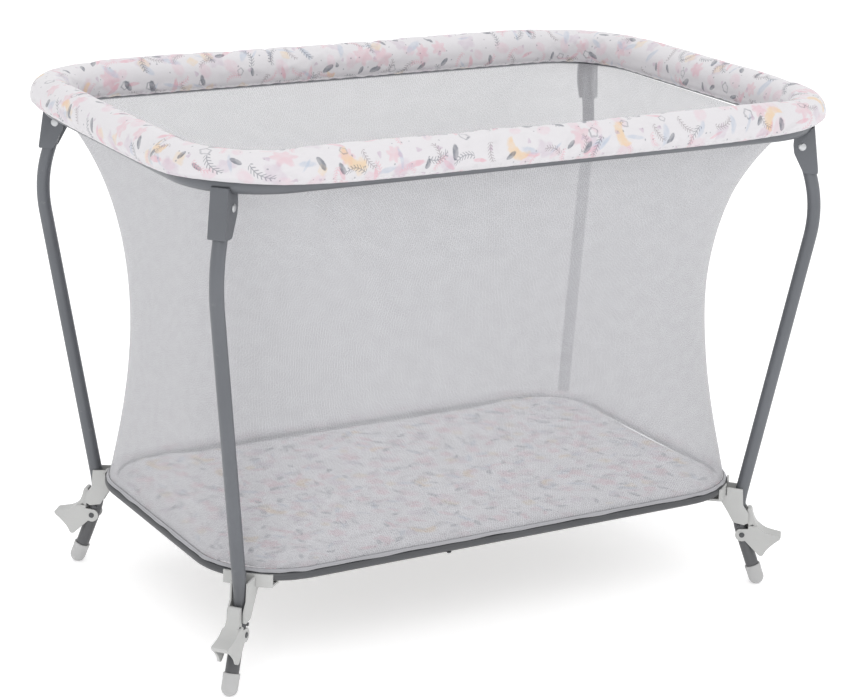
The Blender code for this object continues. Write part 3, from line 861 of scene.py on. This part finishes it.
def cornerShare(places, wide):
    # 1 at each corner's leg bracket, falling to 0 along the straight sides
    share = np.zeros(len(places))
    for corner in corners:
        pivot = joints["leg_fold_" + corner]["pos_m"]
        away = np.hypot(places[:, 0] - pivot[0], places[:, 1] - pivot[1])
        share = np.maximum(share, np.exp(-(away / wide) ** 2))
    return share


def coverPlaces(u, v, look, grow=0.0):
    places, ways, _ = routeAt(railPath, u)
    outward = np.cross(ways, np.array([0, 0, 1.0]))
    outward /= np.linalg.norm(outward, axis=1)[:, None]
    lift = cornerShare(places, look["liftWide"]) * look["cornerLift"]
    # v runs from the outer lip, over the top, to the inner lip
    start = look["outerLip"] + lift
    end = 2 * math.pi - look["innerLip"]
    tuck = look["tuck"]
    angle = start + (end - start) * np.clip((v - tuck) / (1 - tuck), 0, 1)
    # the sewn lips gather the cloth into small puckers
    gather = np.exp(-v / look["gatherWide"]) + np.exp(-(1 - v) / look["gatherWide"])
    turn = u * 2 * math.pi * look["puckers"]
    wave = np.sin(turn) + 0.7 * np.sin(turn * look["secondWave"] + look["slant"] * v)
    radius = look["radius"] + grow + look["pucker"] * gather * wave
    side = np.sin(angle) * radius
    up = look["rise"] - np.cos(angle) * radius
    # under the outer edge the cloth folds in to the tube
    reach = np.sqrt(np.maximum(rail["radius"] ** 2 - up ** 2, 0)) + look["tuckGap"]
    side = np.where(v < tuck, reach + (side - reach) * v / tuck, side)
    return places + side[:, None] * outward + up[:, None] * np.array([0, 0, 1.0])


def makeRailCover(look):
    girth = look["radius"] * (2 * math.pi - look["outerLip"] - look["innerLip"])
    length = routeAt(railPath, [0])[2]
    shape = bentGrid(look["stations"], look["sides"], lambda u, v: coverPlaces(u, v, look),
                     (length, girth), (True, False))
    held = {vert for vert in shape.verts if vert.is_boundary}
    for _ in range(look["held"]):
        held |= {edge.other_vert(vert) for vert in held for edge in vert.link_edges}
    lips = np.array([vert in held for vert in shape.verts])
    piece = finish("rail_cover", shape, printedCloth, "frame", 180)
    puff(piece, lips, look["pressure"], look["shrink"], look["cap"])
    solid = piece.modifiers.new("cloth", "SOLIDIFY")
    solid.thickness = look["cloth"]
    solid.offset = -1
    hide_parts("rail_padding")
    u = np.linspace(0, 1, look["tracePoints"])
    for name, v in look["stitchRows"]:
        path = coverPlaces(u, np.full(u.shape, v), look, look["stitchOut"])
        stitchRow(name, path, look["stitchGap"], look["stitchLength"], look["stitchRadius"],
                  whiteTape, "frame")


makeRailTube()
makeRailCover(cover)
print("rail made")


wall = {
    # height, half length, half width, corner radius
    "levels": (
        (0.1590, 0.4245, 0.2565, 0.1145), (0.2000, 0.4215, 0.2580, 0.1350), (0.2700, 0.4175, 0.2600, 0.1650),
        (0.3500, 0.4150, 0.2615, 0.1880), (0.4200, 0.4150, 0.2620, 0.1960), (0.4900, 0.4180, 0.2640, 0.1900),
        (0.5600, 0.4255, 0.2685, 0.1710), (0.6200, 0.4380, 0.2760, 0.1470), (0.6600, 0.4520, 0.2850, 0.1200),
        (0.6920, 0.4670, 0.2940, 0.0950)),
    # the front right corner is pulled in a little more than the others
    "pull": 0.0120, "pullWay": (-0.862, 0.506), "pullAt": 0.641, "pullWide": 0.085,
    "pullUp": ((0.20, 0.36, 0.46, 0.60, 0.692), (0.0, 0.35, 0.75, 1.0, 0.75)),
    "stations": 360, "rows": 90, "around": 2.05, "curve": 6,
    "cut": 2.42, "seams": 0.03, "lift": 0.48,
    "hemThick": 0.0008, "hemTall": 0.016, "hemRows": 8, "hemAt": (0, 0.3, 0.55, 1),
    "hemOut": (0.0034, 0.0026, 0.0014, 0.0003), "hemUp": (0.1562, 0.1572, 0.1582, 0.1600),
    "hemDrift": 0.0005, "stitchAt": 0.45, "stitchGap": 0.006, "stitchLength": 0.0038, "stitchRadius": 0.0003,
    "tracePoints": 1500,
}
ringShares = {"arc": 0.115, "along": 0.62}  # each corner's share, and the long sides' share of the rest


def ringPlaces(u, halfX, halfY, corner):
    # a rounded rectangle at share u; arcs and straights keep the same shares at every height
    arc = ringShares["arc"]
    straightX = (1 - 4 * arc) * ringShares["along"] / 2
    straightY = (1 - 4 * arc) * (1 - ringShares["along"]) / 2
    stops = np.cumsum([0, straightX / 2, arc, straightY, arc, straightX, arc, straightY, arc, straightX / 2])
    x, y = np.zeros_like(u), np.zeros_like(u)
    coreX, coreY = halfX - corner, halfY - corner
    for k in range(9):
        inside = (u >= stops[k]) & (u <= stops[k + 1] + 1e-9)
        t = (u - stops[k]) / (stops[k + 1] - stops[k])
        if k % 2:
            number = k // 2
            angle = math.pi / 2 * (1 + number) + math.pi / 2 * t
            sx, sy = ((-1, 1), (-1, -1), (1, -1), (1, 1))[number]
            px, py = sx * coreX + corner * np.cos(angle), sy * coreY + corner * np.sin(angle)
        else:
            px, py = {
                0: (-coreX * t, halfY), 2: (-halfX, coreY * (1 - 2 * t)),
                4: (coreX * (2 * t - 1), -halfY), 6: (halfX, coreY * (2 * t - 1)),
                8: (coreX * (1 - t), halfY)}[k]
        x = np.where(inside, px, x)
        y = np.where(inside, py, y)
    return x, y


def wallPlaces(u, v, look):
    levels = np.array(look["levels"])
    height = levels[0, 0] + (levels[-1, 0] - levels[0, 0]) * v
    size = [np.polyval(np.polyfit(levels[:, 0], levels[:, column], look["curve"]), height)
            for column in (1, 2, 3)]
    x, y = ringPlaces(u, *size)
    slack = look["pull"] * np.exp(-((u - look["pullAt"]) / look["pullWide"]) ** 2)
    slack = slack * np.interp(height, *look["pullUp"])
    wayX, wayY = look["pullWay"]
    return np.stack([x + wayX * slack, y + wayY * slack, height], axis=1)


def makeHem(look):
    # the net's lower edge is a tape that laps over the floor tube and is stitched down
    def place(u, v, out=0.0):
        over = np.interp(v, look["hemAt"], look["hemOut"]) + out
        height = np.interp(v, look["hemAt"], look["hemUp"])
        drift = np.sin(u * 2 * math.pi * 31) + 0.8 * np.sin(u * 2 * math.pi * 53 + 1.0)
        height = height + (1 - v) * look["hemDrift"] * drift
        x, y = ringPlaces(u, *(floorTube[key] + over for key in ("halfX", "halfY", "corner")))
        return np.stack([x, y, height], axis=1)

    size = (look["cut"], look["hemTall"])
    shape = bentGrid(look["stations"], look["hemRows"], place, size, (True, False))
    piece = finish("net_hem", shape, netTape, "floor", 180)
    solid = piece.modifiers.new("tape", "SOLIDIFY")
    solid.thickness = look["hemThick"]
    solid.offset = 0
    u = np.linspace(0, 1, look["tracePoints"])
    path = place(u, np.full(u.shape, look["stitchAt"]), look["hemThick"] / 2)
    stitchRow("net_hem_stitches", path, look["stitchGap"], look["stitchLength"], look["stitchRadius"],
              netTape, "floor")
    return piece


def makeWall(look):
    bottom, top = look["levels"][0][0], look["levels"][-1][0]
    height = top - bottom
    shape = bentGrid(look["stations"], look["rows"], lambda u, v: wallPlaces(u, v, look),
                     (look["around"], height), (True, False))
    piece = finish("net_wall", shape, netCloth, "frame", 180)
    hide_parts("mesh_wall")
    hem = makeHem(look)
    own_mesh(piece)


def makeFloor():
    path = ringPath(floorTube["halfX"], floorTube["halfY"], floorTube["corner"], floorTube["z"])
    shape = tube(path, floorTube["radius"], floorTube["stations"], floorTube["sides"], closed=True)
    piece = finish("floor_tube", shape, steelDark, "floor", 180)
    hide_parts("floor_tube_left", "floor_tube_right")


mat = {
    "corner": 0.1085, "round": 0.0035, "crown": 0.003, "voxel": 0.006, "shrunk": 0.0015,
    "above": 0.0002, "pinned": 0.0035, "pressure": 4.0, "shrink": -0.015, "cap": 0.005,
    "sideShare": 0.7,  # how much the print moves along on the pad's sides
    "piping": 0.0056, "pipingIn": 0.0062, "pipingUp": 0.0102, "pipingSides": 10,
}


def makeMat(look):
    # a flat pad, remeshed and blown up over its flat underside
    halfX, halfY = matHigh.x - look["shrunk"], matHigh.y - look["shrunk"]
    corner = look["corner"] - look["shrunk"]
    outline = ringPath(halfX, halfY, corner, matLow.z + look["above"])[:-1]
    shape = bmesh.new()
    base = shape.faces.new([shape.verts.new(point) for point in outline[::3]])
    pushed = bmesh.ops.extrude_face_region(shape, geom=[base])["geom"]
    top = [part for part in pushed if isinstance(part, bmesh.types.BMVert)]
    thick = matHigh.z - matLow.z - look["crown"]
    bmesh.ops.translate(shape, verts=top, vec=(0, 0, thick))
    rim = [edge for edge in shape.edges
           if all(vert.co.z > matLow.z + thick / 2 for vert in edge.verts)]
    bmesh.ops.bevel(shape, geom=rim, offset=look["round"], segments=3, profile=0.5,
                    affect="EDGES", material=-1)
    piece = finish("floor_pad", shape, padCloth, "floor", 180)
    remesh = piece.modifiers.new("even", "REMESH")
    remesh.mode = "VOXEL"
    remesh.voxel_size = look["voxel"]
    remesh.adaptivity = 0
    applyModifiers(piece)
    heights = np.array([vert.co.z for vert in piece.data.vertices])
    puff(piece, heights < matLow.z + look["pinned"], look["pressure"], look["shrink"], look["cap"])
    # the cloth lies flat on the board, so nothing sinks below it
    for vert in piece.data.vertices:
        vert.co.z = max(vert.co.z, matLow.z)
    shape = bmesh.new()
    shape.from_mesh(piece.data)
    layer = shape.loops.layers.uv.new("UVMap")
    for face in shape.faces:
        face.smooth = True
        for loop in face.loops:
            lift = (loop.vert.co.z - matLow.z) * look["sideShare"]
            loop[layer].uv = (loop.vert.co.x + lift, loop.vert.co.y + lift)
    shape.to_mesh(piece.data)
    shape.free()
    smooth = piece.modifiers.new("smooth", "SUBSURF")
    smooth.levels = smooth.render_levels = 1
    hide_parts("floor_mat")
    inset = look["pipingIn"]
    path = ringPath(*(floorTube[key] - inset for key in ("halfX", "halfY", "corner")),
                    floorTube["z"] + look["pipingUp"])
    shape = tube(path, look["piping"], floorTube["stations"], look["pipingSides"], closed=True)
    cord = finish("floor_pad_piping", shape, printedCloth, "floor", 180)


makeFloor()
makeMat(mat)
makeWall(wall)
print("floor and net made")


leg = {
    "path": ((-0.0031, 0.6795), (0.0281, 0.5837), (-0.0571, 0.1088), (-0.0226, 0.0150)),
    "bends": (0.185, 0.12), "radius": 0.0095, "stations": 150, "sides": 28,
    "wall": 0.0012, "mouth": 0.008,
}
foot = {
    "centre": (-0.0209, 0.0104), "lean": math.radians(20.3), "radius": 0.0113, "height": 0.0200,
    "steps": 16, "roll": 0.0003, "inside": 0.0045,
}
bracket = {
    "outline": ((0.0248, 0.6320), (0.0151, 0.6975), (0.0125, 0.6975), (-0.0120, 0.6905),
                (-0.0130, 0.6720), (-0.0110, 0.6600), (0.0040, 0.6320)),
    "hollow": ((0.0246, 0.6200), (0.0130, 0.6985), (-0.0300, 0.6985), (-0.0300, 0.6200)),
    "inner": 0.0103, "outer": 0.0123, "rounding": 0.003, "edge": 0.0007, "play": 0.0003,
}
rivet = {"shaft": 0.0030, "head": 0.0055, "thick": 0.0016}
pin = {"shaft": 0.0025, "head": 0.0040, "thick": 0.0013}
catch = {"at": (-0.0520, 0.0914), "radius": 0.0024, "head": 0.0027, "half": 0.0118, "thick": 0.0010}
pedal = {
    "pivot": (-0.0460, 0.0785), "boss": 0.0100, "rounding": 0.006, "edge": 0.0007,
    "cuts": (-0.006, 0.0139, 0.0155), "flareFrom": -0.006, "flare": 0.10, "neckFrom": 0.0147,
    "neck": 0.0096, "taper": 0.0016, "tip": 0.0255,
    "outer": ((0.0120, 0.0410), (0.0160, 0.0250), (0.0235, 0.0135), (0.0350, 0.0060), (0.0580, 0.0015),
              (0.0560, -0.0030)),
    "rib": ((0.0455, -0.0115), (0.0365, -0.0215), (0.0325, -0.0300), (0.0275, -0.0300)),
    "inner": ((0.0092, 0.0100), (0.0088, 0.0135), (0.0055, 0.0410)),
    "hollow": ((-0.0300, -0.0500), (-0.0300, 0.0135), (0.0090, 0.0135), (0.0150, 0.0170), (0.0205, 0.0108),
               (0.0340, 0.0020), (0.0520, -0.0012), (0.0520, -0.0500)),
}


def headedPin(shaft, head, half, thick):
    # a pin with a domed head at each end
    dome = ((0, 1), (0.55, 0.92), (0.9, 0.6), (1, 0.25), (1, 0))
    profile = [(head * wide, -half - thick * high) for wide, high in dome] + [(shaft, -half)]
    return profile + [(radius, -up) for radius, up in profile[::-1]]


def makeLeg(corner, place):
    body = "leg_" + corner
    path = routePoints([place @ Vector((out, 0, up)) for out, up in leg["path"]], leg["bends"])
    lift = place.to_3x3() @ Vector((0, 1, 0))
    shape = tube(path, leg["radius"], leg["stations"], leg["sides"], lift=tuple(lift))
    closeEnds(shape, leg["wall"], leg["mouth"])
    piece = finish("leg_tube_" + corner, shape, legSteel, body)
    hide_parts("leg_" + corner)
    # rounded cap with a flat under it and a rolled mouth
    wide, top, roll, inside = (foot[key] for key in ("radius", "height", "roll", "inside"))
    angles = [k * math.pi / 2 / foot["steps"] for k in range(foot["steps"] + 1)]
    profile = [(math.sin(angle) * wide, -math.cos(angle) * wide) for angle in angles]
    profile += [(wide, top * 0.62), (wide + roll, top * 0.66), (wide + roll, top - 2 * roll),
                (wide - 0.0002, top), (leg["radius"] + roll, top), (leg["radius"] + roll, inside), (0, inside)]
    stand = (place @ Matrix.Translation((foot["centre"][0], 0, foot["centre"][1]))
             @ Matrix.Rotation(-foot["lean"], 4, "Y"))
    shape = turned(profile, stand)
    bmesh.ops.bisect_plane(shape, geom=shape.verts[:] + shape.edges[:] + shape.faces[:],
                           plane_co=(0, 0, 0), plane_no=(0, 0, -1), clear_outer=True)
    bmesh.ops.holes_fill(shape, edges=[edge for edge in shape.edges if edge.is_boundary], sides=0)
    piece = finish("foot_" + corner, shape, footPlastic, body, 30)
    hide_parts("foot_cap_" + corner)
    axle = across(place, pedal["pivot"])
    half = bracket["outer"] + bracket["play"]
    shape = turned(headedPin(pin["shaft"], pin["head"], half, pin["thick"]), axle)
    piece = finish("pin_" + corner, shape, steelDark, body)
    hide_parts("pedal_pin_" + corner)
    # a dark catch bar goes through the leg above the pedal; its dark steel also stands in for painted shade
    # between the bracket and the pedal
    profile = headedPin(catch["radius"], catch["head"], catch["half"], catch["thick"])
    shape = turned(profile, across(place, catch["at"]))
    finish("catch_bar_" + corner, shape, steelDark, body)


def makeBracket(corner, place):
    shape = prism(smoothLine(bracket["outline"], bracket["rounding"]), bracket["outer"], place)
    piece = finish("bracket_" + corner, shape, steelGrey, "frame", 30)
    carve(piece, (prism(bracket["hollow"], bracket["inner"], place), railRing(rail["clearance"])))
    soften(piece, bracket["edge"])
    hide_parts("leg_bracket_" + corner)
    pivot = across(place, (0, joints["leg_fold_" + corner]["pos_m"][2]))
    half = bracket["outer"] + bracket["play"]
    shape = turned(headedPin(rivet["shaft"], rivet["head"], half, rivet["thick"]), pivot)
    piece = finish("rivet_" + corner, shape, zincPlate, "frame")
    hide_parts("leg_rivet_" + corner)


def pedalHalfWidth(height):
    if height < pedal["neckFrom"]:
        return bracket["outer"] + pedal["flare"] * max(0, pedal["flareFrom"] - height)
    return pedal["neck"] - pedal["taper"] * (height - pedal["cuts"][2]) / pedal["tip"]


def makePedal(corner, place):
    hinge = place @ Matrix.Translation((pedal["pivot"][0], 0, pedal["pivot"][1]))
    boss = [(math.cos(angle) * pedal["boss"], math.sin(angle) * pedal["boss"])
            for angle in (math.radians(-60 - 15 * step) for step in range(13))]
    # the foot plate is a smooth curve through the outer points
    corners = [*pedal["outer"], *pedal["rib"], *boss, *pedal["inner"]]
    shape = prism(smoothLine(corners, pedal["rounding"], 3), 1, Matrix())
    for height in pedal["cuts"]:
        bmesh.ops.bisect_plane(shape, geom=shape.verts[:] + shape.edges[:] + shape.faces[:],
                               plane_co=(0, 0, height), plane_no=(0, 0, 1))
    for vert in shape.verts:
        vert.co.y *= pedalHalfWidth(vert.co.z)
    shape.transform(hinge)
    piece = finish("pedal_lever_" + corner, shape, greyPlastic, "pedal_" + corner, 30)
    carve(piece, (prism(pedal["hollow"], bracket["inner"], hinge),))
    soften(piece, pedal["edge"], 3)
    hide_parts("pedal_" + corner)


for corner in corners:
    place = cornerFrame(corner)
    makeBracket(corner, place)
    makeLeg(corner, place)
    makePedal(corner, place)
# small parts keep the frame's shape and get rounded edges
edges = {"bracket": 0.0008, "spring": 0.0002, "screw": 0.0003, "stud": 0.0003}
for corner in corners:
    edgedCopy("floor_bracket_" + corner, edges["bracket"], greyPlastic, 3)
    edgedCopy("pedal_spring_" + corner, edges["spring"], zincPlate)
    edgedCopy("floor_screw_" + corner, edges["screw"], zincPlate)
for side in ("front", "back"):
    edgedCopy("floor_rivet_" + side, edges["stud"], steelDark)
print("legs, pedals and brackets made")

# CAD pieces whose shape already serves
for name, node in frame["nodes"].items():
    if node.hide_render:
        continue
    chosen = hardboard if name == "floor_board" else zincPlate
    node.data.materials.clear()
    node.data.materials.append(chosen)
